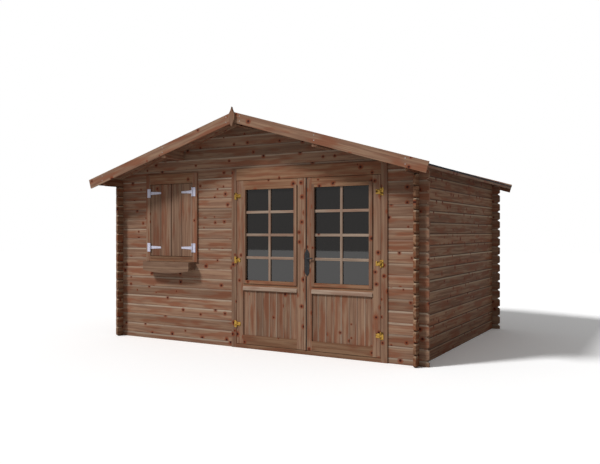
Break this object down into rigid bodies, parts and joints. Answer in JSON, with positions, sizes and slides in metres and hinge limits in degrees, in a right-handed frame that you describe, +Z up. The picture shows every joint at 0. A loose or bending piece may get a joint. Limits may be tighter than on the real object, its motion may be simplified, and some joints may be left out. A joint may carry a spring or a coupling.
{
  "type": "wooden garden shed",
  "caption": "Garden shed of crossed timber wall boards with a felted pitched roof, glazed doors, a shuttered window and a window box.",
  "frame": {"origin": "on the ground, under the middle of the whole shed's box, roof overhangs included", "axes": "+Z up, +X to the right seen from the front, -Y out of the front with the doors, +Y to the back wall"},
  "size_m": [4.4908, 3.578, 2.7195],
  "materials": {
    "wall_boards": "planed softwood boards, brown pressure treatment",
    "roof_timber": "planed softwood purlins and boards, brown pressure treatment",
    "barge_wood": "planed softwood boards, brown pressure treatment",
    "joinery": "planed softwood frames and doors, brown pressure treatment",
    "shutter_wood": "planed softwood upright boards, brown pressure treatment",
    "roof_felt": "mineral surfaced roofing felt",
    "glass": "clear pane",
    "brass": "bright brass hinges",
    "dark_iron": "dark forged iron handle",
    "white_steel": "white painted steel hinges"
  },
  "bodies": {
    "shed": {"front_wall_below_window": "wall_boards", "front_wall_left_end": "wall_boards", "front_wall_between": "wall_boards", "front_wall_right_end": "wall_boards", "front_gable": "wall_boards", "back_wall": "wall_boards", "right_wall": "wall_boards", "left_wall": "wall_boards", "eave_beams": "wall_boards", "ridge_purlin": "roof_timber", "middle_purlins": "roof_timber", "right_roof_boards": "roof_timber", "left_roof_boards": "roof_timber", "eave_battens": "roof_timber", "right_roof_felt": "roof_felt", "left_roof_felt": "roof_felt", "front_right_barge": "barge_wood", "front_left_barge": "barge_wood", "rear_right_barge": "barge_wood", "rear_left_barge": "barge_wood", "front_finial": "barge_wood", "door_posts": "joinery", "door_head": "joinery", "door_sill": "joinery", "window_frame_stiles": "joinery", "window_frame_rails": "joinery", "window_sash_uprights": "joinery", "window_sash_rails": "joinery", "window_box_front": "joinery", "window_box_trough": "joinery", "window_glass": "glass", "door_hinge_plates": "brass", "shutter_hinge_plates": "white_steel"},
    "right_door_leaf": {"right_door_stiles": "joinery", "right_door_rails": "joinery", "right_door_panel": "joinery", "right_door_sash_uprights": "joinery", "right_door_sash_rails": "joinery", "right_door_glass": "glass", "right_door_hinge_straps": "brass", "door_cover_strip": "joinery", "door_handle_plate": "dark_iron"},
    "left_door_leaf": {"left_door_stiles": "joinery", "left_door_rails": "joinery", "left_door_panel": "joinery", "left_door_sash_uprights": "joinery", "left_door_sash_rails": "joinery", "left_door_glass": "glass", "left_door_hinge_straps": "brass"},
    "lever": {"door_lever": "dark_iron"},
    "right_shutter_leaf": {"right_shutter": "shutter_wood", "right_shutter_straps": "white_steel"},
    "left_shutter_leaf": {"left_shutter": "shutter_wood", "left_shutter_straps": "white_steel"}
  },
  "joints": [
    {"name": "right_door_hinge", "type": "hinge", "parent": "shed", "child": "right_door_leaf", "pos_m": [1.6175, -1.431, 0.99], "axis": [0, 0, 1], "range_deg": [0, 110]},
    {"name": "left_door_hinge", "type": "hinge", "parent": "shed", "child": "left_door_leaf", "pos_m": [-0.1845, -1.431, 0.99], "axis": [0, 0, -1], "range_deg": [0, 110]},
    {"name": "right_shutter_hinge", "type": "hinge", "parent": "shed", "child": "right_shutter_leaf", "pos_m": [-0.838, -1.437, 1.5165], "axis": [0, 0, 1], "range_deg": [0, 170]},
    {"name": "left_shutter_hinge", "type": "hinge", "parent": "shed", "child": "left_shutter_leaf", "pos_m": [-1.508, -1.437, 1.5165], "axis": [0, 0, -1], "range_deg": [0, 170]},
    {"name": "lever_pivot", "type": "hinge", "parent": "right_door_leaf", "child": "lever", "pos_m": [0.7525, -1.427, 1.053], "axis": [0, 1, 0], "range_deg": [0, 45], "stiffness_Nm_per_rad": 0.8, "springref_deg": -20.05}
  ]
}
